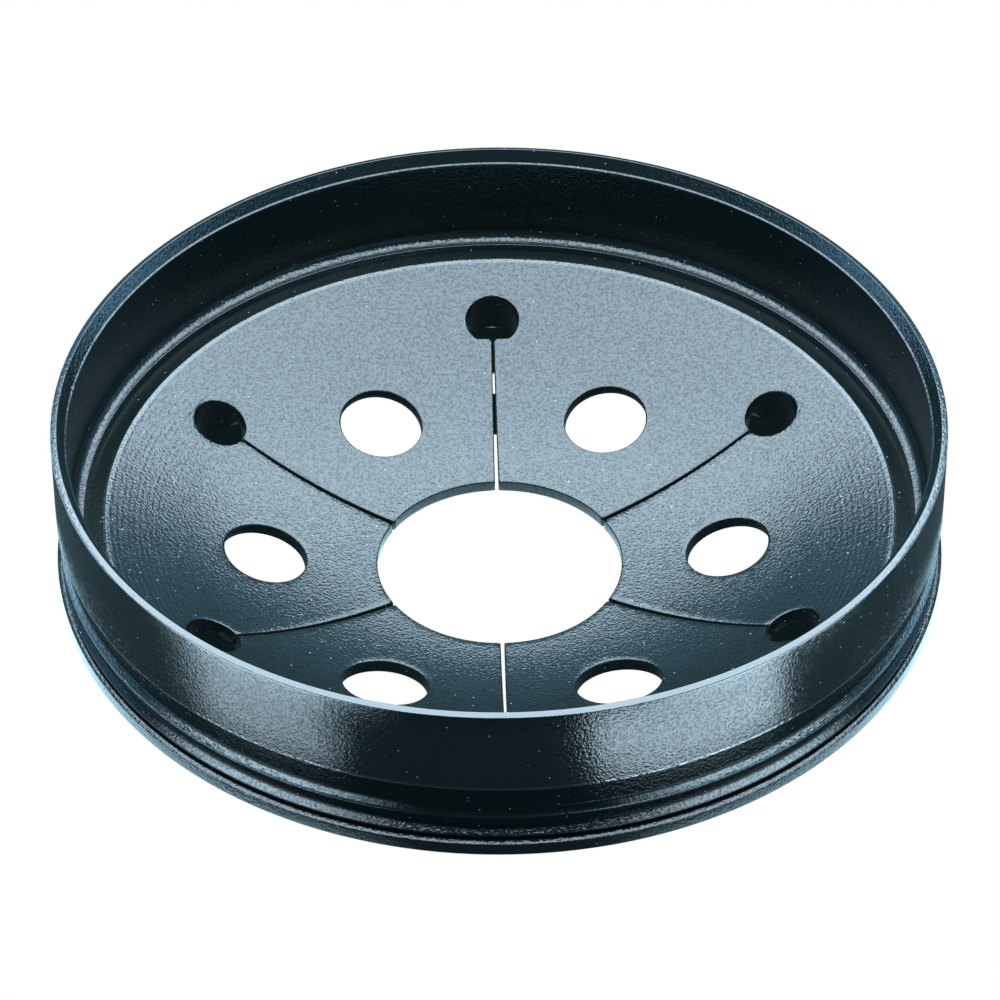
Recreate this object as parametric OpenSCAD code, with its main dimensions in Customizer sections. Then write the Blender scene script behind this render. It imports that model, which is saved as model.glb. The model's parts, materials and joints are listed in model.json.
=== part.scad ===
// Splash guard for the throat of a sink drain: a moulded rubber collar whose dished floor is cut
// by radial slits into six flaps. Each flap bends down about the line between two relief holes.
// Frame: origin at the centre of the rim plane, +Z up out of the open rim, everything hangs below z = 0.

/* [Collar outside] */
// Diameter of the smooth outside wall
collar_d = 85.7; // [84:0.1:90]
// Height from the rim down to the foot of the lip
collar_h = 17.1; // [16.9:0.1:19]
// Height of the smooth outside wall
wall_h = 8.75; // [8:0.05:9.5]
// Depth of the recessed band under the smooth wall
recess_t = 0.55; // [0.3:0.05:0.8]
// Depth of the grooves between the ribs
groove_t = 0.8; // [0.6:0.05:1]
// How far the ribs stop short of the smooth wall
rib_inset = 0.2; // [0.1:0.05:0.4]
// Distance from the rim to the top of the upper rib
upper_rib_z = 11.3; // [11:0.05:11.6]
// Height of the upper rib's straight face
upper_rib_h = 1.0; // [0.6:0.05:1.2]
// Distance from the rim to the top of the lower rib
lower_rib_z = 14.1; // [13.8:0.05:14.3]
// Height of the lower rib's sloping face
lower_rib_h = 0.95; // [0.6:0.05:1]
// Height of the lip at the foot
lip_h = 1.5; // [1:0.1:1.6]
// How far the lip stands out past the smooth wall
lip_out = 0.2; // [0:0.05:0.6]

/* [Collar inside] */
// Width of the flat land on the rim
rim_land = 0.55; // [0.3:0.05:0.9]
// Height of the chamfer inside the rim
rim_chamfer_h = 1.25; // [0.6:0.05:2]
// Wall thickness just below the rim chamfer
wall_top_t = 1.55; // [1.2:0.05:1.8]
// Wall thickness at the foot of the inside wall
wall_foot_t = 2.2; // [1.9:0.05:2.4]
// Depth from the rim to the outer edge of the shelf round the dish
shelf_z = 10.5; // [10:0.05:10.7]
// Size of the sloping corner between the wall and the shelf
shelf_corner = 0.5; // [0.2:0.05:0.8]
// Width of the shelf
shelf_w = 2.0; // [1.6:0.1:2.6]
// Drop of the shelf from its outer edge to the dish
shelf_drop = 0.45; // [0.3:0.01:0.6]
// Depth of the moulded channel in the underside of the ring
channel_h = 2.6; // [1:0.1:3]
// Width of the moulded channel at its mouth
channel_w = 4.2; // [3:0.1:5]
// Width of the foot outside the channel
foot_w = 2.6; // [2.2:0.1:3]

/* [Dished floor] */
// Slope of the outer, conical part of the dish, in degrees
dish_slope = 24; // [21:0.5:26]
// Distance from the axis at which the cone turns into the curved middle
dish_bend_r = 30; // [29:0.1:31]
// Radius of the curved middle of the dish
dish_curve = 50; // [46:0.5:56]
// Thickness of the flaps
web_t = 1.3; // [1.25:0.05:1.5]
// Diameter of the opening in the middle
centre_d = 23.9; // [18:0.1:26]
// Diameter of the drain hole in each flap, square to the flap
drain_d = 8.2; // [5:0.1:8.4]
// Distance of the drain holes from the axis
drain_r = 22.2; // [20:0.1:22.4]
// Diameter of the relief hole at the outer end of each slit
relief_d = 5.3; // [4.5:0.1:5.6]
// Distance of the relief holes from the axis
relief_r = 31.7; // [31.2:0.1:32.2]
// Width of the slits between the flaps
slit_w = 0.5; // [0.5:0.05:0.8]

/* [Flap hinges] */
// Radius of the bead that each flap turns on
bead_r = 0.6; // [0.5:0.05:0.6]
// Running gap between a bead and its seat in the collar
bead_gap = 0.05; // [0.03:0.01:0.08]
// Gap above the bead, which lets a flap bend up a little
top_gap = 0.25; // [0.22:0.01:0.35]
// Gap under the bead, which lets a flap bend down until it hangs
under_gap = 0.95; // [0.92:0.01:1.1]
// Wall left between the end of a bead and the relief hole
bead_end = 0.4; // [0.3:0.05:1]

/* [Hidden] */
$fn = 96;

flap_count = 6;
flap_angle = 360 / flap_count;
half_angle = flap_angle / 2;
over = 1;

wall_r = collar_d / 2;
recess_r = wall_r - recess_t;
groove_r = wall_r - groove_t;
rib_r = wall_r - rib_inset;
lip_r = wall_r + lip_out;
rib_flank = 0.3;

wall_foot_r = wall_r - wall_foot_t;
shelf_out_r = wall_foot_r - shelf_corner;
dish_edge_r = shelf_out_r - shelf_w;
dish_edge_z = shelf_z + shelf_drop;
ring_in_r = 26;
ring_in_z = dish_edge_z + (dish_edge_r - ring_in_r) * tan(dish_slope);

channel_out_r = lip_r - foot_w;
channel_in_r = channel_out_r - channel_w;
channel_draft = 0.4;

// Centre of the dish's curve, in the half section
dish_bend_z = -dish_edge_z - (dish_edge_r - dish_bend_r) * tan(dish_slope);
curve_r = dish_bend_r - dish_curve * sin(dish_slope);
curve_z = dish_bend_z + dish_curve * cos(dish_slope);
curve_steps = 12;

// The hinge line runs between two relief holes, at half the web's thickness
hinge_x = relief_r * cos(half_angle);
hinge_drop = (hinge_x - curve_r) / dish_curve;
hinge_under_drop = (hinge_x - curve_r) / (dish_curve + web_t);
hinge_top_z = curve_z - dish_curve * cos(asin(hinge_drop));
hinge_under_z = curve_z - (dish_curve + web_t) * cos(asin(hinge_under_drop));
hinge_z = (hinge_top_z + hinge_under_z) / 2;
hinge_half = relief_r * sin(half_angle) - relief_d / 2;
bead_half = hinge_half - bead_end;
seat_r = bead_r + bead_gap;

floor_z = -30;

// Point on the dish's curve in the half section, at a slope and at a depth under the upper face
function curve_point(slope, depth) = [
    curve_r + (dish_curve + depth) * sin(slope),
    curve_z - (dish_curve + depth) * cos(slope)
];

// Half section of the collar
module collar_section() {
    polygon([
        [wall_r - rim_land, 0],
        [wall_r, 0],
        [wall_r, -wall_h],
        [recess_r, -wall_h],
        [recess_r, -upper_rib_z + rib_flank],
        [rib_r, -upper_rib_z],
        [rib_r, -upper_rib_z - upper_rib_h],
        [groove_r, -upper_rib_z - upper_rib_h - rib_flank],
        [groove_r, -lower_rib_z],
        [rib_r, -lower_rib_z - lower_rib_h],
        [groove_r, -lower_rib_z - lower_rib_h - rib_flank / 2],
        [groove_r, -collar_h + lip_h],
        [lip_r, -collar_h + lip_h],
        [lip_r, -collar_h],
        [channel_out_r, -collar_h],
        [channel_out_r - channel_draft, -collar_h + channel_h],
        [channel_in_r + channel_draft, -collar_h + channel_h],
        [channel_in_r, -collar_h],
        [ring_in_r, -collar_h],
        [ring_in_r, -ring_in_z],
        [dish_edge_r, -dish_edge_z],
        [shelf_out_r, -shelf_z],
        [wall_foot_r, -shelf_z + shelf_corner],
        [wall_r - wall_top_t, -rim_chamfer_h]
    ]);
}

// Repeats its children once per flap, from the first flap on +X
module each_flap() {
    for (i = [0 : flap_count - 1])
        rotate([0, 0, i * flap_angle]) children();
}

// The dished web that the flaps are cut from
module dished_web() {
    slopes = [for (k = [0 : curve_steps]) dish_slope * k / curve_steps];
    upper = [for (slope = slopes) curve_point(slope, 0)];
    under = [for (k = [curve_steps : -1 : 0]) curve_point(slopes[k], web_t)];
    run = (dish_edge_r - dish_bend_r) * [1, tan(dish_slope)];
    rotate_extrude($fn = 180)
        polygon(concat(upper, [upper[curve_steps] + run, under[0] + run], under));
}

// The six-sided opening that the flaps fill, from a height down
module flap_opening(gap, top_z) {
    opening_r = (hinge_x + gap) / cos(half_angle);
    translate([0, 0, floor_z])
        rotate([0, 0, half_angle])
            cylinder(r = opening_r, h = top_z - floor_z, $fn = 6);
}

// A round bar along the hinge line of the flap on +X, its seam turned to the middle
module hinge_bar(r, half_length) {
    translate([hinge_x, 0, hinge_z])
        rotate([90, 0, 180])
            cylinder(r = r, h = 2 * half_length, center = true);
}

module collar() {
    color([0.10, 0.12, 0.14])
        difference() {
            rotate_extrude($fn = 180) collar_section();
            flap_opening(top_gap, 0);
            flap_opening(under_gap, hinge_z);
            each_flap() hinge_bar(seat_r, hinge_half + over);
            each_flap()
                rotate([0, 0, half_angle])
                    translate([relief_r, 0, floor_z])
                        cylinder(d = relief_d, h = -floor_z, $fn = 48);
        }
}

// Plan of the flap on +X: a wedge between two slits, with its round ends cut out
module flap_plan() {
    edge_y = (hinge_x - slit_w) * tan(half_angle);
    difference() {
        polygon([[slit_w, 0], [hinge_x, -edge_y], [hinge_x, edge_y]]);
        circle(d = centre_d);
        for (side = [-1, 1])
            rotate([0, 0, side * half_angle]) translate([relief_r, 0]) circle(d = relief_d, $fn = 48);
    }
}

// The drill for the drain hole in the flap on +X, square to the dish
module drain_drill() {
    slope = asin((drain_r - curve_r) / dish_curve);
    place = curve_point(slope, 0);
    translate([place[0], 0, place[1]])
        rotate([0, -slope, 0])
            cylinder(d = drain_d, h = 6 * web_t, center = true, $fn = 48);
}

// Flap number i: its share of the dish with the bead that it turns on
module flap(i) {
    color([0.14, 0.16, 0.19])
        rotate([0, 0, (i - 1) * flap_angle])
            union() {
                difference() {
                    intersection() {
                        translate([0, 0, floor_z]) linear_extrude(height = -floor_z) flap_plan();
                        dished_web();
                    }
                    drain_drill();
                }
                hinge_bar(bead_r, bead_half);
            }
}

module flap_1() { flap(1); }
module flap_2() { flap(2); }
module flap_3() { flap(3); }
module flap_4() { flap(4); }
module flap_5() { flap(5); }
module flap_6() { flap(6); }

collar();
flap_1();
flap_2();
flap_3();
flap_4();
flap_5();
flap_6();
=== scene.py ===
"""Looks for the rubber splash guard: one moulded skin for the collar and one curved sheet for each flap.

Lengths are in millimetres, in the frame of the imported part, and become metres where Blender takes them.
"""

import functools
import json
import math

import bmesh
import bpy
import numpy as np
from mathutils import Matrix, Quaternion, Vector
from mathutils.geometry import delaunay_2d_cdt


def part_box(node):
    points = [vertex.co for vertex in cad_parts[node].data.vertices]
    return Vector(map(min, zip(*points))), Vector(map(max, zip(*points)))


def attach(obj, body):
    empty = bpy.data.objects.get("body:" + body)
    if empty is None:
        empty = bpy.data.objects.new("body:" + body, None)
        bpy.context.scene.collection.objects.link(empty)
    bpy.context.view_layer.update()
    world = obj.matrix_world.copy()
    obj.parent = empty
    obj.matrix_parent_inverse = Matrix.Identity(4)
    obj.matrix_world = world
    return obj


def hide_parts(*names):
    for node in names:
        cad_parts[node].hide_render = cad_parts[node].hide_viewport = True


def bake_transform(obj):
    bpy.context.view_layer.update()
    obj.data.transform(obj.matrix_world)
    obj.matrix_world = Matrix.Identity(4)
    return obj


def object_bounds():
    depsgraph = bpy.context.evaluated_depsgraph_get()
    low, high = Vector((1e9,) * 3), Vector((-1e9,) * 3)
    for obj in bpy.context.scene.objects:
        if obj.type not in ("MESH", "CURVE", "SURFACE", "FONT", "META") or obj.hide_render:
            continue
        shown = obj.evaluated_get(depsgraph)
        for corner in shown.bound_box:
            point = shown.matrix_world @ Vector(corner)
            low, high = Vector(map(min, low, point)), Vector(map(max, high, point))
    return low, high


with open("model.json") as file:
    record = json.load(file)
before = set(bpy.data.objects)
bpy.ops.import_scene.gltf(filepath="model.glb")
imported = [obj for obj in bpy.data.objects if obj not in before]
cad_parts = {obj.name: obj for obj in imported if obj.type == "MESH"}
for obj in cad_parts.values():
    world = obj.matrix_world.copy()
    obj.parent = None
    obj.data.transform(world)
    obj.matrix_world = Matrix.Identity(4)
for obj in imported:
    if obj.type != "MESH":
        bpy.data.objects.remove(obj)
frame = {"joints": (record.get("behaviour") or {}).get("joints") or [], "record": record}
cad_low, cad_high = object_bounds()

MM = 0.001

# ---------------------------------------------------------------- sizes taken from the frame
MOUNTS = {mount["name"]: mount for mount in frame["record"]["mounts"]}
HINGES = frame["joints"]
FLAPS = len(HINGES)
SECTOR = 2 * math.pi / FLAPS
WALL_R = MOUNTS["throat_fit"]["dims"]["r_mm"]
WALL_H = MOUNTS["throat_fit"]["dims"]["length_mm"]
FOOT_Z = MOUNTS["foot"]["pos_m"][2] / MM
LIP_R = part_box("collar")[1].x / MM
HINGE_X = HINGES[0]["pos_m"][0] / MM
FLOOR_Z = cad_low.z / MM

# ---------------------------------------------------------------- openings in the dish
CENTRE_HOLE = 11.97  # radius
SLIT_ANGLE = SECTOR / 2
SLIT_OUTER = 0.20  # widths of a slit at its two ends
SLIT_INNER = 0.36
RELIEF_R = HINGE_X / math.cos(SLIT_ANGLE)  # distance of the relief holes from the axis
RELIEF_HOLE = 2.68  # radius of the hole at the outer end of each slit
FLAT_SLIT = 1  # the rear relief hole isn't quite round:
FLAT_DEPTH = 1.95  # it has a flat side towards the axis, this far from its middle
DRAIN_HOLE = 4.12  # radius
DRAIN_R = np.array([22.27, 22.34, 22.45, 22.85, 22.33, 22.5])  # each stands a little off the pattern
DRAIN_TURN = np.radians([-1.1, 0.2, 0.7, 0.9, -0.3, -1.1])

# ---------------------------------------------------------------- dish, flap ring and bend
DISH_EDGE_R = 37.85
DISH_EDGE_Z = -11.084
DISH_SLOPE = math.radians(24)  # slope of the outer part, which is a cone
DISH_BEND_R = 30.0  # the inner part is a bowl up to here
DISH_CURVE = 50.0  # radius of the bowl
CURVE_R = DISH_BEND_R - DISH_CURVE * math.sin(DISH_SLOPE)  # the middle of the bowl's curve
BEND_Z = DISH_EDGE_Z - (DISH_EDGE_R - DISH_BEND_R) * math.tan(DISH_SLOPE)
CURVE_Z = BEND_Z + DISH_CURVE * math.cos(DISH_SLOPE)
WEB = 1.3  # thickness of the flaps and of the fixed web round them
COVE_START = HINGE_X + 0.5  # where the underside starts to fall to the foot of the ring
COVE = 2.2  # and how far out it gets there

# ---------------------------------------------------------------- the collar's section, from the dish out
CREST_RUN = 0.3
CREST_R = DISH_EDGE_R + CREST_RUN
CREST_Z = DISH_EDGE_Z + CREST_RUN * math.tan(DISH_SLOPE)
GUTTER_R = 39.95
GUTTER_Z = CREST_Z - 0.36
SHELF_R = 40.20
SHELF_Z = -10.68
INNER_FOOT_R = 41.42  # the inside wall leans in a little towards its top
INNER_FOOT_Z = -10.60
INNER_TOP_R = 41.34
INNER_TOP_Z = -1.5
LEDGE_IN_R = 41.36  # a narrow ledge under the rim's bevel
LEDGE_IN_Z = -1.24
LEDGE_OUT_R = 41.56
LEDGE_OUT_Z = -1.16
RIM_R = 42.24
RIM_DROP = 0.21

WALL_FOOT_Z = -WALL_H - 0.4
RECESS_R = WALL_R - 0.68
RECESS_FOOT_Z = -11.9
RIB_R = WALL_R - 0.08
UPPER_RIB_Z = -12.5
UPPER_RIB_FOOT_Z = -12.8
GROOVE_R = WALL_R - 0.9
GROOVE_TOP_Z = -13.0
GROOVE_FOOT_Z = -14.45
LOWER_RIB_Z = -14.95
LOWER_RIB_FOOT_Z = -15.15
SLOT_R = GROOVE_R + 0.15
SLOT_TOP_Z = -15.3
SLOT_FOOT_Z = -15.50
LIP_TOP_Z = -15.54
LIP_EDGE_Z = -15.70

CHANNEL_OUT_R = 40.45  # the channel in the foot
CHANNEL_IN_R = 36.25
CHANNEL_H = 2.6
CHANNEL_DRAFT = 0.4
RING_FOOT_R = 36.0

# ---------------------------------------------------------------- edges and mesh density
EDGE_ROUND = 0.16
ROUND_STEPS = [EDGE_ROUND * (1 - math.cos(math.radians(a))) for a in (30, 60, 90)]
TURN_STEPS = 288
ARC_STEP = math.radians(22)
EDGE_STEP = 0.45
FILL_STEP = 0.75
FILL_GAP = 0.4 * FILL_STEP  # the filling points keep this far from outlines
SUPPORT_GAP = 0.2
HINGE_GAP = 0.05
SMOOTH_ANGLE = math.radians(38)
WELD = 0.002
NEAR = 1e-6

# ---------------------------------------------------------------- look of the rubber
RUBBER_DARK = (0.0032, 0.0066, 0.0062)
RUBBER_PALE = (0.0046, 0.0085, 0.0078)
PATCH_SCALE = 0.35
GRAIN_SCALE = 3.6
GRAIN_RANGE = (0.34, 0.60)  # from the pits to the tops of the grain
DISH_SHINE = (0.37, 0.58)  # strength of the reflections in the pits and on the tops
OUTSIDE_SHINE = (0.34, 0.60)
# The rim's stronger reflection is a painted highlight.
RIM_SHINE = 0.9
BUMP_DEPTH = 0.045
TOOL_LINE_RATE = 11.5  # how fast the turned lines follow each other, in radians a millimetre
TOOL_LINE_DRIFT = 0.15
TOOL_LINE_HEIGHT = 0.10
TOOL_LINE_START = 30.5
TOOL_LINE_FULL = 35.5
DUST_COLOUR = (0.20, 0.23, 0.25)
DUST_SCALE = 1.1
DUST_SHARE = 0.38  # share of the pattern's cells that hold a speck
DUST_SIZE = 0.08

# ---------------------------------------------------------------- studio and camera
WHITE = (1.0, 1.0, 1.0)
ROOM_COLOUR = (0.45, 1.0, 1.55)
SIDE_GLOW = 5.2  # strength of the glow to the front left and the front right
GLOW_LEFT = (math.radians(-30), math.radians(-48))  # it grows over these angles, counted from the front
GLOW_RIGHT = (math.radians(8), math.radians(24))
GLOW_BACK = (math.radians(155), math.radians(115))
FLOOR_R = 1600
FLOOR_COLOUR = (0.60, 0.97, 1.18)
FLOOR_GLOW = 0.12
FAR_GLOW = (66, 82)  # the side glow grows between these distances from the axis
INNER_RING = (8.0, 12.0)  # glowing rings on the floor, from one radius to another
INNER_RING_GLOW = 1.6
OUTER_RING = (43.0, 45.5)
OUTER_RING_GLOW = 2.8
# Painted shadow: a near-black glow that the camera sees on the floor under the collar's foot, behind the rear
# slit and behind the two front relief holes.
PAINTED_SHADOW_COLOUR = (0.004, 0.010, 0.010)
PAINTED_SHADOW_RING = (31.0, 38.3)  # radii on the floor under the collar's foot
PAINTED_SHADOW_SPOTS = ((-27.4, -9.5), (27.4, -9.5))  # seen through the two front relief holes
PAINTED_SHADOW_SPOT_R = 4.0
PAINTED_SHADOW_SLIT_X = (-0.15, 0.65)  # seen through the rear slit
PAINTED_SHADOW_SLIT_Y = (21.0, 27.4)
CARD_COLOUR = (0.74, 1.0, 1.16)
CARD_RAISE = 0.3  # a card lies this far above the floor
CARD_PAST_RIM = 0.4  # and is this much longer than its patch of light, as a share of the patch
CARD_PAST_FOOT = 0.05
BAND_COLOUR = (0.70, 1.0, 1.18)
BAND_R = 51.0
BAND_HEIGHTS = (-8.0, -0.5)
BAND_REACH = 66  # degrees to each side of the front
BAND_STEP = 3
BAND_GLOW = 11.0
BAND_START = (math.radians(14), math.radians(34))  # its glow grows over these angles from the front
BAND_END = (math.radians(62), math.radians(46))
SOFTBOX_COLOUR = (0.79, 1.0, 1.15)
SOFTBOX_NEAR = -170
SOFTBOX_FAR = 575
SOFTBOX_WIDTH = 800
SOFTBOX_Z = 420
SOFTBOX_RADIANCE = 7.9
CAMERA_TURN = math.radians(-1.2)
CAMERA_TILT = math.radians(40.36)
CAMERA_ROLL = math.radians(-0.20)
CAMERA_DISTANCE = 477.8
CAMERA_AIM = (-0.055, -5.5, -6.4)
CAMERA_LENS = 180
CAMERA_SENSOR = 36


# ---------------------------------------------------------------- plan of the openings
def lean(radius):
    """Slope of the dish at a distance from the axis, in radians."""
    return np.arcsin(np.clip((radius - CURVE_R) / DISH_CURVE, 0, math.sin(DISH_SLOPE)))


def fold(points):
    """Turns and mirrors plan points into the half sector between y = 0 and the slit: radius, x and y."""
    radius = np.hypot(points[:, 0], points[:, 1])
    angle = np.arctan2(points[:, 1], points[:, 0])
    angle = np.abs(angle - np.round(angle / SECTOR) * SECTOR)
    return radius, radius * np.cos(angle), radius * np.sin(angle)


def round_gap(along, across, hole, squeeze):
    """Distance from the edge of a hole drilled square to the dish, which looks narrower along the radius."""
    reach = np.hypot(along, across)
    direction = np.arctan2(across, along)
    return reach - hole / np.hypot(np.cos(direction) / squeeze, np.sin(direction))


def slit_half_width(along):
    """Half the slit's width at a distance from the axis along the slit."""
    share = (along - CENTRE_HOLE) / (RELIEF_R - RELIEF_HOLE - CENTRE_HOLE)
    return (SLIT_INNER + (SLIT_OUTER - SLIT_INNER) * share) / 2


RELIEF_AT = RELIEF_R * np.array([math.cos(SLIT_ANGLE), math.sin(SLIT_ANGLE)])
RELIEF_SQUEEZE = math.cos(DISH_SLOPE)
RELIEF_RADII = (RELIEF_HOLE * RELIEF_SQUEEZE, RELIEF_HOLE)
DRAIN_SQUEEZE = float(np.cos(lean(DRAIN_R.mean())))
HINGE_TURN = math.atan2(math.cos(SLIT_ANGLE) / RELIEF_RADII[1], -math.sin(SLIT_ANGLE) / RELIEF_RADII[0])
HINGE_END = RELIEF_AT[1] - RELIEF_RADII[1] * math.sin(HINGE_TURN) / math.cos(SLIT_ANGLE)


def edge_gap(points):
    """Distance of plan points from the nearest free edge, negative inside an opening."""
    radius, x, y = fold(points)
    azimuth = np.arctan2(points[:, 1], points[:, 0])
    along = x * math.cos(SLIT_ANGLE) + y * math.sin(SLIT_ANGLE)
    across = x * math.sin(SLIT_ANGLE) - y * math.cos(SLIT_ANGLE)
    outward = along - RELIEF_R
    flat = np.where(np.floor(azimuth / SECTOR) % FLAPS == FLAT_SLIT, FLAT_DEPTH, RELIEF_HOLE)
    relief = np.maximum(round_gap(outward, across, RELIEF_HOLE, RELIEF_SQUEEZE), -flat - outward)
    slit = np.where(x < HINGE_X + NEAR, across - slit_half_width(along), np.inf)

    flap = np.round(azimuth / SECTOR).astype(int) % FLAPS
    swing = azimuth - flap * SECTOR - DRAIN_TURN[flap]
    drain_along = radius * np.cos(swing) - DRAIN_R[flap]
    drain_across = radius * np.sin(swing)
    drain = round_gap(drain_along, drain_across, DRAIN_HOLE, DRAIN_SQUEEZE)
    return np.minimum.reduce([relief, slit, drain, radius - CENTRE_HOLE])


def line(start, end, step=EDGE_STEP):
    """Points from start towards end, without the end."""
    start = np.array(start, float)
    end = np.array(end, float)
    count = max(1, math.ceil(np.linalg.norm(end - start) / step))
    return [start + (end - start) * k / count for k in range(count)]


def arc(centre, turn, radii, first, last, step=EDGE_STEP):
    """Points on an ellipse with its first radius turned to a direction, without the last."""
    count = max(2, math.ceil(abs(last - first) * max(radii) / step))
    angles = [first + (last - first) * k / count for k in range(count)]
    flat = turned([np.array([radii[0] * math.cos(a), radii[1] * math.sin(a)]) for a in angles], turn)
    return [p + centre for p in flat]


def turned(points, angle):
    """Plan points turned about the axis."""
    c = math.cos(angle)
    s = math.sin(angle)
    return [np.array([c * p[0] - s * p[1], s * p[0] + c * p[1]]) for p in points]


def mirrored(points):
    """Plan points mirrored in the flap's middle line, in the other order."""
    return [np.array([p[0], -p[1]]) for p in reversed(points)]


def half_hinge():
    """The hinge line from its middle to the relief hole, with points where the edge's rounding needs them."""
    rounded = [HINGE_END - gap for gap in reversed(ROUND_STEPS)]
    points = line((HINGE_X, 0), (HINGE_X, rounded[0]))
    return points + [np.array([HINGE_X, y]) for y in rounded + [HINGE_END]]


def half_flap(flat):
    """Half the plan outline of the flap on +X, from the hinge's middle round to the centre opening.

    Flat says whether the relief hole beside it has the flat side.
    """
    def at(along, across):
        return (
            along * math.cos(SLIT_ANGLE) + across * math.sin(SLIT_ANGLE),
            along * math.sin(SLIT_ANGLE) - across * math.cos(SLIT_ANGLE),
        )

    mouth = slit_half_width(RELIEF_R - (FLAT_DEPTH if flat else RELIEF_RADII[0]))
    inner = slit_half_width(CENTRE_HOLE)
    last = math.acos(-FLAT_DEPTH / RELIEF_RADII[0]) if flat else math.pi - math.asin(mouth / RELIEF_RADII[1])
    ring_end = at(RELIEF_R + RELIEF_RADII[0] * math.cos(last), RELIEF_RADII[1] * math.sin(last))
    slit_start = at(RELIEF_R - FLAT_DEPTH, mouth) if flat else ring_end
    slit_end = at(math.sqrt(CENTRE_HOLE ** 2 - inner ** 2), inner)

    half = half_hinge()
    half += arc(RELIEF_AT, SLIT_ANGLE, RELIEF_RADII, -HINGE_TURN, -last)[1:]
    if flat:
        half += line(ring_end, slit_start)
    half += line(slit_start, slit_end)
    half += arc((0, 0), 0, (CENTRE_HOLE, CENTRE_HOLE), math.atan2(slit_end[1], slit_end[0]), 0)
    return half + [np.array([CENTRE_HOLE, 0.0])]


def flap_outline(flap):
    """Closed plan outline of a flap, turned to lie on +X."""
    upper = half_flap(flap == FLAT_SLIT)
    lower = half_flap((flap - 1) % FLAPS == FLAT_SLIT)
    return upper + mirrored(lower[1:-1])


def drain_outline(flap):
    """Closed plan outline of a flap's drain hole, turned to lie on +X."""
    centre = DRAIN_R[flap] * np.array([math.cos(DRAIN_TURN[flap]), math.sin(DRAIN_TURN[flap])])
    return arc(centre, DRAIN_TURN[flap], (DRAIN_HOLE * DRAIN_SQUEEZE, DRAIN_HOLE), 0, 2 * math.pi)


def ring_outline():
    """Closed plan outline of the opening in the collar: the hinge lines joined round the relief holes."""
    half = half_hinge()
    hinge = mirrored(half[1:]) + half
    relief = arc(RELIEF_AT, SLIT_ANGLE, RELIEF_RADII, -HINGE_TURN, HINGE_TURN)[1:]
    return [p for i in range(FLAPS) for p in turned(hinge + relief, i * SECTOR)]


# ---------------------------------------------------------------- heights
def bowl_height(radius, depth):
    """Height of the dish, or of the surface at a depth under it: a curve that runs out into a cone."""
    ball = DISH_CURVE + depth
    run = np.clip(radius - CURVE_R, 0, ball * math.sin(DISH_SLOPE))
    beyond = np.clip(radius - CURVE_R - ball * math.sin(DISH_SLOPE), 0, None)
    return CURVE_Z - np.sqrt(ball ** 2 - run ** 2) + beyond * math.tan(DISH_SLOPE)


def rounding(points):
    """How far the surface falls back next to a free edge."""
    inset = EDGE_ROUND - np.clip(edge_gap(points), 0, EDGE_ROUND)
    return EDGE_ROUND - np.sqrt(EDGE_ROUND ** 2 - inset ** 2)


def dish_top(points):
    """Points on the dish over plan points."""
    height = bowl_height(np.hypot(points[:, 0], points[:, 1]), 0) - rounding(points)
    return np.column_stack([points, height])


def dish_underside(points):
    """Points under the web, straight behind the dish's points."""
    radius = np.hypot(points[:, 0], points[:, 1])
    depth = WEB - rounding(points)
    shift = 1 + depth * np.sin(lean(radius)) / radius
    height = bowl_height(radius, 0) - depth * np.cos(lean(radius))
    return np.column_stack([points * shift[:, None], height])


def to_foot(places):
    """Lets points under the web fall through a cove to the foot of the ring."""
    x = fold(places[:, :2])[1]
    share = np.clip((x - COVE_START) / COVE, 0, 1)
    share = share * share * (3 - 2 * share)
    fallen = places[:, 2] + (FOOT_Z - places[:, 2]) * share
    return np.column_stack([places[:, :2], fallen])


# ---------------------------------------------------------------- mesh building
def edge_rows(loop, keep):
    """Rows of points next to the free edges of a loop, one row for each step of the rounding."""
    loop = np.array(loop)
    nudge = 1e-4
    slope = np.stack([
        edge_gap(loop + [nudge, 0]) - edge_gap(loop - [nudge, 0]),
        edge_gap(loop + [0, nudge]) - edge_gap(loop - [0, nudge]),
    ], axis=1)
    length = np.linalg.norm(slope, axis=1, keepdims=True)
    slope = slope / np.maximum(length, NEAR ** 2)
    free = np.abs(edge_gap(loop)) < 1e-3
    rows = []
    for gap in ROUND_STEPS:
        row = loop[free] + slope[free] * gap
        true_gap = np.abs(edge_gap(row) - gap) < 0.05 * gap
        rows += list(row[true_gap & keep(row)])
    return rows


def polar_grid(r_low, r_high, turn):
    """A staggered polar grid of plan points between two radii, over a turn centred on +X."""
    points = []
    rows = math.ceil((r_high - r_low) / FILL_STEP)
    for row in range(rows + 1):
        radius = r_low + (r_high - r_low) * row / rows
        count = math.ceil(turn * radius / FILL_STEP)
        for k in range(count):
            angle = -turn / 2 + turn * (k + 0.5 * (row % 2)) / count
            points.append(np.array([radius * math.cos(angle), radius * math.sin(angle)]))
    return points


def between(loops, points):
    """Whether each plan point lies between closed loops: an odd count of edges to one side of it."""
    odd = np.zeros(len(points), bool)
    for loop in loops:
        for a, b in zip(loop, np.roll(loop, -1, axis=0)):
            spans = (a[1] > points[:, 1]) != (b[1] > points[:, 1])
            if spans.any():
                cross = a[0] + (points[:, 1] - a[1]) / (b[1] - a[1]) * (b[0] - a[0])
                odd ^= spans & (points[:, 0] < cross)
    return odd


def triangles(loops, inner):
    """Fills the plan area between closed loops: the points, the triangles and the loops' point numbers."""
    points = []
    edges = []
    numbers = []
    for loop in loops:
        first = len(points)
        points += list(loop)
        numbers.append(list(range(first, len(points))))
        edges += [(a, b) for a, b in zip(numbers[-1], numbers[-1][1:] + [first])]
    points += list(inner)
    found = delaunay_2d_cdt([Vector(p) for p in points], edges, [], 0, NEAR)
    plan = np.array([list(p) for p in found[0]])
    place = {old: new for new, olds in enumerate(found[3]) for old in olds}
    faces = np.array([list(face) for face in found[2]])
    inside = between(loops, plan[faces].mean(axis=1))
    return plan, faces[inside], [[place[k] for k in loop] for loop in numbers]


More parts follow.
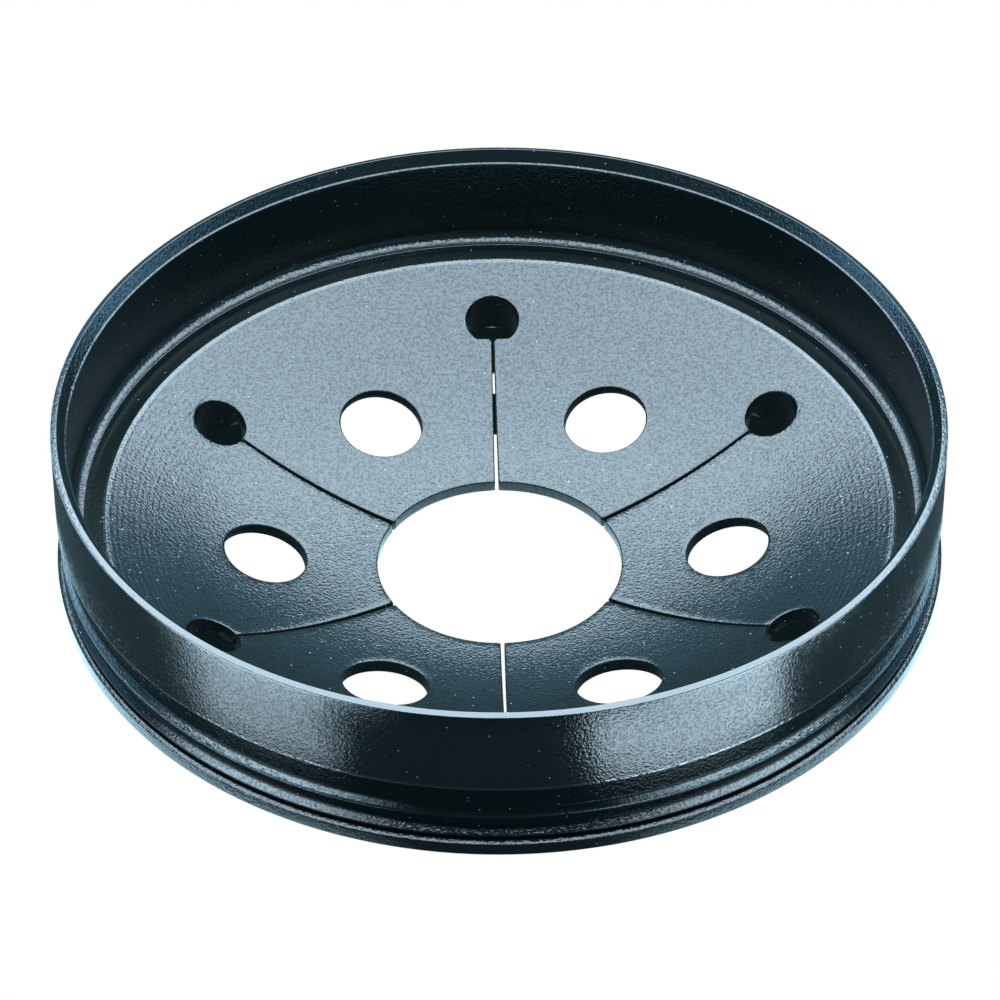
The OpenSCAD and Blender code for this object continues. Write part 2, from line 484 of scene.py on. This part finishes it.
def remember_rest(mesh):
    """Keeps each point's place at rest, in millimetres, so that the rubber's pattern moves with a flap."""
    rest = mesh.attributes.new("rest_mm", "FLOAT_VECTOR", "POINT")
    places = np.zeros(len(mesh.vertices) * 3, np.float32)
    mesh.vertices.foreach_get("co", places)
    rest.data.foreach_set("vector", places / MM)


class Shell:
    """Collects points in millimetres and faces, then makes one closed mesh object."""

    def __init__(self):
        self.points = []
        self.faces = []

    def add(self, points, faces):
        """Adds points and faces, and returns the number of the first new point."""
        first = len(self.points)
        self.points += [tuple(p) for p in points]
        self.faces += [tuple(first + k for k in face) for face in faces]
        return first

    def band(self, row_a, row_b):
        """Joins two closed rows of point numbers with quads."""
        for k in range(len(row_a)):
            n = (k + 1) % len(row_a)
            self.faces.append((row_a[k], row_a[n], row_b[n], row_b[k]))

    def finish(self, name, material):
        """Welds the points and makes the object, smooth except at its sharp edges."""
        mesh = bpy.data.meshes.new(name)
        work = bmesh.new()
        verts = [work.verts.new(Vector(p) * MM) for p in self.points]
        for face in self.faces:
            work.faces.new([verts[k] for k in face])
        bmesh.ops.remove_doubles(work, verts=work.verts, dist=WELD * MM)
        loose = [v for v in work.verts if not v.link_faces]
        bmesh.ops.delete(work, geom=loose, context="VERTS")
        bmesh.ops.recalc_face_normals(work, faces=work.faces)
        work.to_mesh(mesh)
        work.free()
        mesh.polygons.foreach_set("use_smooth", [True] * len(mesh.polygons))
        mesh.set_sharp_from_angle(angle=SMOOTH_ANGLE)
        remember_rest(mesh)
        mesh.materials.append(material)
        piece = bpy.data.objects.new(name, mesh)
        bpy.context.scene.collection.objects.link(piece)
        weighted = piece.modifiers.new("even_shading", "WEIGHTED_NORMAL")
        weighted.keep_sharp = True
        return piece


# ---------------------------------------------------------------- the collar
def rounded_corner(before, corner, after):
    """Points of the arc that rounds a corner (radius, height, rounding) between its two neighbours."""
    here = np.array(corner[:2])
    back = np.array(before[:2]) - here
    ahead = np.array(after[:2]) - here
    back = back / np.linalg.norm(back)
    ahead = ahead / np.linalg.norm(ahead)
    half = math.acos(float(np.clip(back @ ahead, -1, 1))) / 2
    centre = here + (back + ahead) / np.linalg.norm(back + ahead) * corner[2] / math.sin(half)
    start = here + back * corner[2] / math.tan(half) - centre
    end = here + ahead * corner[2] / math.tan(half) - centre
    sweep = math.pi - 2 * half
    count = max(1, math.ceil(sweep / ARC_STEP))
    points = []
    for k in range(count + 1):
        share = k / count
        swing = math.sin((1 - share) * sweep) * start + math.sin(share * sweep) * end
        points.append(centre + swing / math.sin(sweep))
    return points


def rounded_outline(corners):
    """Outline points from corners (radius, height, rounding): each corner but the two ends becomes an arc."""
    points = [np.array(corners[0][:2])]
    for before, corner, after in zip(corners, corners[1:], corners[2:]):
        points += rounded_corner(before, corner, after)
    return points + [np.array(corners[-1][:2])]


def rim_corners():
    """From the edge of the dish over its crest, across the gutter, up the inside wall and over the rim."""
    return [
        (DISH_EDGE_R, DISH_EDGE_Z, 0),
        (CREST_R, CREST_Z, 0.12),
        (GUTTER_R, GUTTER_Z, 0.02),
        (SHELF_R, SHELF_Z, 0.10),
        (INNER_FOOT_R, INNER_FOOT_Z, 1.15),
        (INNER_TOP_R, INNER_TOP_Z, 0.12),
        (LEDGE_IN_R, LEDGE_IN_Z, 0.05),
        (LEDGE_OUT_R, LEDGE_OUT_Z, 0.05),
        (RIM_R, 0.0, 0.06),
        (WALL_R, -RIM_DROP, 0.12),
    ]


def rib_corners():
    """Down the wall, into the recess, and over the two ribs to the lip."""
    return [
        (WALL_R, WALL_FOOT_Z, 0.12),
        (RECESS_R, WALL_FOOT_Z, 0.15),
        (RECESS_R, RECESS_FOOT_Z, 0.3),
        (RIB_R - 0.05, UPPER_RIB_Z, 0.25),
        (RIB_R - 0.12, UPPER_RIB_FOOT_Z, 0.12),
        (GROOVE_R, GROOVE_TOP_Z, 0.2),
        (GROOVE_R, GROOVE_FOOT_Z, 0.1),
        (RIB_R - 0.12, LOWER_RIB_Z, 0.12),
        (RIB_R - 0.17, LOWER_RIB_FOOT_Z, 0.1),
        (SLOT_R, SLOT_TOP_Z, 0.08),
        (SLOT_R, SLOT_FOOT_Z, 0.05),
        (LIP_R - 0.35, LIP_TOP_Z, 0.1),
        (LIP_R, LIP_EDGE_Z, 0.08),
        (LIP_R - 0.05, FOOT_Z, 0.2),
    ]


def foot_corners():
    """Across the foot and its channel to the ring's underside."""
    channel_z = FOOT_Z + CHANNEL_H
    return [
        (CHANNEL_OUT_R, FOOT_Z, 0.3),
        (CHANNEL_OUT_R - CHANNEL_DRAFT, channel_z, 0.5),
        (CHANNEL_IN_R + CHANNEL_DRAFT, channel_z, 0.5),
        (CHANNEL_IN_R, FOOT_Z, 0.2),
        (RING_FOOT_R, FOOT_Z, 0),
    ]


def ring_web(edge_r, opening, depth):
    """Plan of the fixed web at a depth: triangles between a round edge and the opening for the flaps."""
    turns = np.arange(TURN_STEPS) * 2 * math.pi / TURN_STEPS
    edge = edge_r * np.column_stack([np.cos(turns), np.sin(turns)])
    support = turned(edge * (edge_r - SUPPORT_GAP) / edge_r, math.pi / TURN_STEPS)
    grid = np.array(polar_grid(HINGE_X, edge_r - FILL_STEP, 2 * math.pi))
    radius = np.hypot(grid[:, 0], grid[:, 1])
    before = grid * (1 - depth * np.sin(lean(radius)) / radius)[:, None]
    room = fold(before)[1] > HINGE_X + FILL_GAP
    grid = grid[room & (edge_gap(before) > EDGE_ROUND + FILL_GAP)]
    rows = []
    if depth == 0:
        rows = edge_rows(opening, lambda row: fold(row)[1] > HINGE_X + HINGE_GAP)
    return triangles([edge, opening], list(grid) + support + rows)


def turned_outside(shell):
    """Adds the collar's section to a shell, turned about the axis."""
    turns = [2 * math.pi * k / TURN_STEPS for k in range(TURN_STEPS)]
    rows = []
    for radius, height in rounded_outline(rim_corners() + rib_corners() + foot_corners()):
        ring = [(radius * math.cos(a), radius * math.sin(a), height) for a in turns]
        first = shell.add(ring, [])
        rows.append(list(range(first, first + TURN_STEPS)))
    for upper, lower in zip(rows, rows[1:]):
        shell.band(upper, lower)


def collar_skin(material):
    """The whole collar as one closed skin: the turned outside, and the web round the flaps."""
    shell = Shell()
    turned_outside(shell)

    opening = np.array(ring_outline())
    plan, faces, loops = ring_web(DISH_EDGE_R, opening, 0)
    first = shell.add(dish_top(plan), faces)
    top = [first + k for k in loops[1]]

    behind = to_foot(dish_underside(opening))
    plan, faces, loops = ring_web(RING_FOOT_R, behind[:, :2], WEB)
    places = to_foot(np.column_stack([plan, bowl_height(np.hypot(plan[:, 0], plan[:, 1]), WEB)]))
    places[loops[1]] = behind
    first = shell.add(places, faces)
    shell.band(top, [first + k for k in loops[1]])

    skin = shell.finish("collar_skin", material)
    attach(skin, "collar")
    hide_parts("collar")


# ---------------------------------------------------------------- the flaps
def flap_sheet(flap, hinge, material):
    """One flap: a curved sheet with its drain hole, whose edge meets the collar's web along the hinge line.
    """
    angle = flap * SECTOR
    outline = turned(flap_outline(flap), angle)
    drain = turned(drain_outline(flap), angle)
    grid = np.array(polar_grid(CENTRE_HOLE, RELIEF_R, SECTOR))
    room = grid[:, 0] < HINGE_X - FILL_GAP
    grid = np.array(turned(grid[room], angle))
    grid = grid[edge_gap(grid) > EDGE_ROUND + FILL_GAP]
    rows = edge_rows(outline + drain, lambda row: fold(row)[1] < HINGE_X - HINGE_GAP)
    plan, faces, loops = triangles([outline, drain], list(grid) + rows)

    shell = Shell()
    top = shell.add(dish_top(plan), faces)
    under = shell.add(dish_underside(plan), faces)
    for loop in loops:
        shell.band([top + k for k in loop], [under + k for k in loop])
    sheet = shell.finish(f"flap_sheet_{flap + 1}", material)
    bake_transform(sheet)
    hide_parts(hinge["child"])


# ---------------------------------------------------------------- materials
class Nodes:
    """Adds shader nodes and links their sockets."""

    def __init__(self, tree):
        self.tree = tree
        tree.nodes.clear()

    def add(self, kind, inputs=None, **settings):
        """A new node: its inputs are given by name or number, each a value or a socket to link."""
        node = self.tree.nodes.new(kind)
        for name, value in settings.items():
            setattr(node, name, value)
        for name, value in (inputs or {}).items():
            if isinstance(value, bpy.types.NodeSocket):
                self.tree.links.new(value, node.inputs[name])
            else:
                node.inputs[name].default_value = value
        return node

    def maths(self, operation, first, second=0.0):
        """One operation on one or two values."""
        return self.add("ShaderNodeMath", {0: first, 1: second}, operation=operation).outputs[0]

    def product(self, *values):
        """All the values multiplied."""
        return functools.reduce(lambda a, b: self.maths("MULTIPLY", a, b), values)

    def total(self, *values):
        """All the values added up."""
        return functools.reduce(lambda a, b: self.maths("ADD", a, b), values)

    def most(self, *values):
        """The greatest of the values."""
        return functools.reduce(lambda a, b: self.maths("MAXIMUM", a, b), values)

    def ramp(self, value, low, high, to_low=0.0, to_high=1.0):
        """A smooth step from to_low to to_high, while the value goes from low to high."""
        inputs = {"Value": value, "From Min": low, "From Max": high, "To Min": to_low, "To Max": to_high}
        return self.add("ShaderNodeMapRange", inputs, interpolation_type="SMOOTHSTEP").outputs[0]

    def between(self, value, low, high, edge=0.1):
        """One between two values, falling to zero over an edge outside them."""
        return self.product(self.ramp(value, low - edge, low), self.ramp(value, high + edge, high))

    def noise(self, place, scale, detail, roughness):
        """Soft noise between zero and one."""
        inputs = {"Vector": place, "Scale": scale, "Detail": detail, "Roughness": roughness}
        return self.add("ShaderNodeTexNoise", inputs).outputs["Fac"]

    def axes(self, vector):
        """The three parts of a vector."""
        return tuple(self.add("ShaderNodeSeparateXYZ", {0: vector}).outputs)

    def object_place(self):
        """Places on the object itself, in millimetres."""
        metres = self.add("ShaderNodeTexCoord").outputs["Object"]
        return self.add("ShaderNodeVectorMath", {0: metres, "Scale": 1 / MM}, operation="SCALE").outputs[0]

    def distance(self, place, point):
        """How far places are from a point."""
        away = self.add("ShaderNodeVectorMath", {0: place, 1: point}, operation="DISTANCE")
        return away.outputs["Value"]

    def turn_from_front(self, x, y):
        """Angle about the axis in radians, zero at the front and growing to the right."""
        return self.maths("ARCTAN2", x, self.product(y, -1.0))

    def mix(self, share, first, second):
        """A value between two values or sockets."""
        return self.add("ShaderNodeMix", {0: share, 2: first, 3: second}).outputs[0]

    def colours(self, share, first, second):
        """A colour between two colours, each three numbers or a socket."""
        mix = self.add("ShaderNodeMix", {0: share}, data_type="RGBA")
        for socket, value in ((mix.inputs[6], first), (mix.inputs[7], second)):
            if isinstance(value, bpy.types.NodeSocket):
                self.tree.links.new(value, socket)
            else:
                socket.default_value = (*value, 1)
        return mix.outputs[2]

    def emission(self, colour, strength):
        """A glow, as a shader."""
        return self.add("ShaderNodeEmission", {"Color": (*colour, 1), "Strength": strength}).outputs[0]

    def surface(self, shader, output="ShaderNodeOutputMaterial"):
        """Makes a shader the look of the whole material or world."""
        self.add(output, {"Surface": shader})


def new_material(name):
    """An empty material and its nodes."""
    material = bpy.data.materials.new(name)
    material.use_nodes = True
    return material, Nodes(material.node_tree)


def grooves(n, radius, z, outside):
    """Painted shade: one in the recess, in the grooves between the ribs and in the gutter, where little light
    gets in; it dims the reflections there.
    """
    recess = n.between(z, RECESS_FOOT_Z - 0.1, WALL_FOOT_Z - 0.15)
    groove = n.between(z, GROOVE_FOOT_Z - 0.05, GROOVE_TOP_Z + 0.25)
    slot = n.between(z, SLOT_FOOT_Z + 0.05, SLOT_TOP_Z + 0.15)
    gutter = n.product(n.between(radius, CREST_R + 0.3, GUTTER_R), n.ramp(z, -9.0, -10.0))
    return n.most(n.product(n.most(recess, groove, slot), outside), gutter)


def rubber_bump(n, radius, grain, patches):
    """The pitted grain, and faint lines turned by the mould's tool on the outer part of the dish."""
    waves = n.maths("SINE", n.product(n.total(radius, n.product(patches, TOOL_LINE_DRIFT)), TOOL_LINE_RATE))
    lined = n.product(
        n.ramp(radius, TOOL_LINE_START, TOOL_LINE_FULL),
        n.ramp(radius, DISH_EDGE_R + 0.25, DISH_EDGE_R - 0.05),
    )
    height = n.total(grain, n.product(waves, lined, TOOL_LINE_HEIGHT))
    inputs = {"Height": height, "Strength": 1.0, "Distance": BUMP_DEPTH * MM}
    return n.add("ShaderNodeBump", inputs).outputs[0]


def rubber_roughness(n, outside, rim, patches):
    """Satin, a little uneven from patch to patch, and smoother on the rim."""
    even = n.ramp(outside, 0.0, 1.0, to_low=0.15, to_high=0.16)
    uneven = n.total(even, n.product(n.maths("SUBTRACT", patches, 0.5), 0.10))
    return n.mix(rim, uneven, 0.10)


def rubber_shine(n, radius, z, outside, rim, grain):
    """Strength of the reflections: less in pits, with painted shade in the grooves and painted highlights on
    the rim, crest and wall's edge.
    """
    dish_shine = n.ramp(grain, *GRAIN_RANGE, *DISH_SHINE)
    outside_shine = n.ramp(grain, *GRAIN_RANGE, *OUTSIDE_SHINE)
    shine = n.mix(rim, n.mix(outside, dish_shine, outside_shine), RIM_SHINE)
    # Painted highlight along the crest at the dish's edge.
    crest = n.product(
        n.ramp(radius, DISH_EDGE_R - 0.15, DISH_EDGE_R),
        n.ramp(radius, CREST_R + 0.3, CREST_R + 0.15),
    )
    # Painted highlight along the wall's lower edge.
    wall_edge_highlight = n.product(n.between(z, WALL_FOOT_Z - 0.05, WALL_FOOT_Z + 0.3), outside)
    shine = n.total(shine, n.total(n.product(crest, 0.3), n.product(wall_edge_highlight, 0.9)))
    # Painted shade: the reflections are dimmed in the recess, grooves, slot and gutter.
    painted_shade = grooves(n, radius, z, outside)
    return n.product(shine, n.ramp(painted_shade, 0.0, 1.0, to_low=1.0, to_high=0.25))


def rubber_colour(n, place, patches):
    """Nearly black, a little uneven, with specks of pale dust."""
    cells = n.add("ShaderNodeTexVoronoi", {"Vector": place, "Scale": DUST_SCALE}).outputs
    chosen = n.maths("GREATER_THAN", n.axes(cells["Color"])[0], 1 - DUST_SHARE)
    dust = n.product(chosen, n.maths("LESS_THAN", cells["Distance"], DUST_SIZE))
    return n.colours(dust, n.colours(patches, RUBBER_DARK, RUBBER_PALE), DUST_COLOUR)


def rubber():
    """Satin black moulded rubber."""
    material, n = new_material("black_rubber")
    place = n.add("ShaderNodeAttribute", attribute_name="rest_mm").outputs["Vector"]
    x, y, z = n.axes(place)
    radius = n.maths("SQRT", n.total(n.product(x, x), n.product(y, y)))
    outside = n.ramp(radius, WALL_R - 1.3, WALL_R - 0.9)
    rim = n.product(n.ramp(radius, WALL_R - 0.7, WALL_R - 0.55), n.ramp(z, -0.40, -0.25))
    grain = n.noise(place, GRAIN_SCALE, detail=1.0, roughness=0.6)
    patches = n.noise(place, PATCH_SCALE, detail=4.0, roughness=0.6)
    shader = n.add("ShaderNodeBsdfPrincipled", {
        "Base Color": rubber_colour(n, place, patches),
        "Roughness": rubber_roughness(n, outside, rim, patches),
        "Specular IOR Level": rubber_shine(n, radius, z, outside, rim, grain),
        "IOR": 1.5,
        "Normal": rubber_bump(n, radius, grain, patches),
    })
    n.surface(shader.outputs[0])
    return material


# ---------------------------------------------------------------- studio
def side_glow(n, direction):
    """One to the front left and the front right of the axis, zero straight in front and behind."""
    x, y, _ = n.axes(direction)
    turn = n.turn_from_front(x, y)
    sides = n.most(n.ramp(turn, *GLOW_LEFT), n.ramp(turn, *GLOW_RIGHT))
    return n.product(sides, n.ramp(n.maths("ABSOLUTE", turn), *GLOW_BACK))


def painted_floor_shadow(n, place):
    """One where the camera sees painted shadow on the floor: under the collar's foot and behind some
    openings.
    """
    x, y, _ = n.axes(place)
    spots = [n.between(n.distance(place, (0, 0, 0)), *PAINTED_SHADOW_RING, edge=0.5)]
    for spot_x, spot_y in PAINTED_SHADOW_SPOTS:
        away = n.distance(place, (spot_x, spot_y, 0))
        spots.append(n.ramp(away, PAINTED_SHADOW_SPOT_R + 0.2, PAINTED_SHADOW_SPOT_R - 0.2))
    spots.append(n.product(n.between(x, *PAINTED_SHADOW_SLIT_X), n.between(y, *PAINTED_SHADOW_SLIT_Y, edge=0.2)))
    below = n.add("ShaderNodeNewGeometry").outputs["Backfacing"]
    return n.product(n.most(*spots), n.ramp(below, 0.0, 1.0, to_low=1.0, to_high=0.0))


def floor_glow(n, place):
    """How strongly the floor glows in reflections: far off at the sides, and in two rings near the object."""
    x, y, _ = n.axes(place)
    from_axis = n.distance(place, (0, 0, 0))
    sides = n.product(n.ramp(from_axis, *FAR_GLOW), side_glow(n, place), SIDE_GLOW)
    rear = n.ramp(y, -1, 4)
    inner_ring = n.product(n.between(from_axis, *INNER_RING, edge=1.0), rear, INNER_RING_GLOW)
    beside = n.ramp(n.maths("ABSOLUTE", x), 8, 22)
    outer_ring = n.product(n.between(from_axis, *OUTER_RING, edge=0.8), beside, OUTER_RING_GLOW)
    return n.total(sides, FLOOR_GLOW, inner_ring, outer_ring)


def studio_floor():
    """A pale floor that glows in the rubber's reflections and shows the camera painted shadow in some spots.

    The camera looks through the rest of it at the white room, so a flap that hangs below it stays in sight.
    """
    middle = (0, 0, FLOOR_Z * MM)
    bpy.ops.mesh.primitive_circle_add(vertices=96, radius=FLOOR_R * MM, fill_type="NGON", location=middle)
    floor = bpy.context.object
    floor.name = "floor"
    material, n = new_material("pale_floor")
    place = n.object_place()
    clear = n.add("ShaderNodeBsdfTransparent").outputs[0]
    # Near-black glow for the painted shadow that the camera sees through the openings.
    painted_shadow = n.emission(PAINTED_SHADOW_COLOUR, 1.0)
    seen = n.add("ShaderNodeMixShader", {0: painted_floor_shadow(n, place), 1: clear, 2: painted_shadow}).outputs[0]
    reflected = n.emission(FLOOR_COLOUR, floor_glow(n, place))
    from_camera = n.add("ShaderNodeLightPath").outputs["Is Camera Ray"]
    n.surface(n.add("ShaderNodeMixShader", {0: from_camera, 1: reflected, 2: seen}).outputs[0])
    floor.data.materials.append(material)


def mirror_card(name, points, faces, material):
    """A glowing mesh, from points in millimetres, that shows in nothing but reflections."""
    mesh = bpy.data.meshes.new(name)
    mesh.from_pydata([tuple(Vector(p) * MM) for p in points], [], faces)
    mesh.materials.append(material)
    card = bpy.data.objects.new(name, mesh)
    bpy.context.scene.collection.objects.link(card)
    card.visible_camera = False
    card.visible_diffuse = False
    card.visible_shadow = False
    card.visible_transmission = False


def floor_card(name, side, near, far, strength):
    """A glowing card on the floor, which only shows as a slanting patch of light on the outside wall.

    Near and far are the patch's two edges: how many degrees round the wall they stand at the rim and at the
    wall's foot. Side is -1 on the left and 1 on the right.
    """
    def floor_point(turn, height):
        foot = math.radians(-90) + side * math.radians(turn)
        away = math.radians(-90) + side * math.radians(2 * turn)
        reach = height / math.tan(CAMERA_TILT)
        return Vector((
            WALL_R * math.cos(foot) + reach * math.cos(away),
            WALL_R * math.sin(foot) + reach * math.sin(away),
            FLOOR_Z + CARD_RAISE,
        ))

    edges = []
    for rim_turn, foot_turn in (near, far):
        rim = floor_point(rim_turn, -FLOOR_Z)
        foot = floor_point(foot_turn, -FLOOR_Z - WALL_H)
        edges.append((rim + (rim - foot) * CARD_PAST_RIM, foot + (foot - rim) * CARD_PAST_FOOT))
    (near_rim, near_foot), (far_rim, far_foot) = edges
    material, n = new_material(name)
    n.surface(n.emission(CARD_COLOUR, strength))
    mirror_card(name, [near_rim, near_foot, far_foot, far_rim], [(0, 1, 2, 3)], material)


def side_band():
    """A glowing band round the front below the rim, which only shows as streaks on the ribs and the lip."""
    turns = np.radians(np.arange(-BAND_REACH, BAND_REACH + 1, BAND_STEP))
    points = [(BAND_R * math.sin(a), -BAND_R * math.cos(a), z) for z in BAND_HEIGHTS for a in turns]
    count = len(turns)
    faces = [(k, k + 1, count + k + 1, count + k) for k in range(count - 1)]
    material, n = new_material("side_band")
    x, y, _ = n.axes(n.object_place())
    turn = n.maths("ABSOLUTE", n.turn_from_front(x, y))
    strength = n.product(n.ramp(turn, *BAND_START), n.ramp(turn, *BAND_END, to_high=BAND_GLOW))
    n.surface(n.emission(BAND_COLOUR, strength))
    mirror_card("side_band", points, faces, material)


def softbox():
    """A big soft light overhead that reaches far behind the object."""
    lamp = bpy.data.lights.new("softbox", "AREA")
    lamp.shape = "RECTANGLE"
    lamp.size = SOFTBOX_WIDTH * MM
    lamp.size_y = (SOFTBOX_FAR - SOFTBOX_NEAR) * MM
    lamp.energy = SOFTBOX_RADIANCE * math.pi * lamp.size * lamp.size_y
    lamp.color = SOFTBOX_COLOUR
    box = bpy.data.objects.new("softbox", lamp)
    box.location = (0, (SOFTBOX_NEAR + SOFTBOX_FAR) / 2 * MM, SOFTBOX_Z * MM)
    box.visible_camera = False
    bpy.context.scene.collection.objects.link(box)


def surroundings():
    """White behind the object for the camera, and a dim cool room for the reflections."""
    world = bpy.data.worlds.new("studio")
    bpy.context.scene.world = world
    world.use_nodes = True
    n = Nodes(world.node_tree)
    direction = n.add("ShaderNodeTexCoord").outputs["Generated"]
    _, y, up = n.axes(direction)
    rear = n.ramp(y, -0.3, 0.2, to_low=0.25, to_high=1.0)
    ceiling = n.ramp(up, 0.0, 0.42, to_low=0.05, to_high=0.62)
    low = n.ramp(up, 0.24, 0.08, to_low=0.0, to_high=0.6 * SIDE_GLOW)
    room = n.total(n.product(ceiling, rear), n.product(side_glow(n, direction), low))
    seen = n.add("ShaderNodeLightPath").outputs["Is Camera Ray"]
    colour = n.colours(seen, ROOM_COLOUR, WHITE)
    sky = n.add("ShaderNodeBackground", {"Color": colour, "Strength": n.mix(seen, room, 1.0)})
    n.surface(sky.outputs[0], "ShaderNodeOutputWorld")


def photo_camera():
    """A long lens from the front, forty degrees above the rim."""
    level = math.cos(CAMERA_TILT)
    back = Vector((math.sin(CAMERA_TURN) * level, -math.cos(CAMERA_TURN) * level, math.sin(CAMERA_TILT)))
    data = bpy.data.cameras.new("camera")
    data.lens = CAMERA_LENS
    data.sensor_width = CAMERA_SENSOR
    data.clip_start = 0.01
    data.clip_end = 20
    camera = bpy.data.objects.new("camera", data)
    camera.location = Vector(CAMERA_AIM) * MM + back * (CAMERA_DISTANCE * MM)
    facing = (-back).to_track_quat("-Z", "Y")
    camera.rotation_euler = (facing @ Quaternion((0, 0, 1), CAMERA_ROLL)).to_euler()
    bpy.context.scene.collection.objects.link(camera)
    bpy.context.scene.camera = camera


black_rubber = rubber()
collar_skin(black_rubber)
for number, hinge in enumerate(HINGES):
    flap_sheet(number, hinge, black_rubber)

studio_floor()
floor_card("left_card", side=-1, near=(25.0, 20.5), far=(44.0, 40.0), strength=5.0)
floor_card("right_card", side=1, near=(9.5, 11.5), far=(37.0, 36.5), strength=7.8)
side_band()
softbox()
surroundings()
photo_camera()
bpy.context.scene.view_settings.view_transform = "Standard"
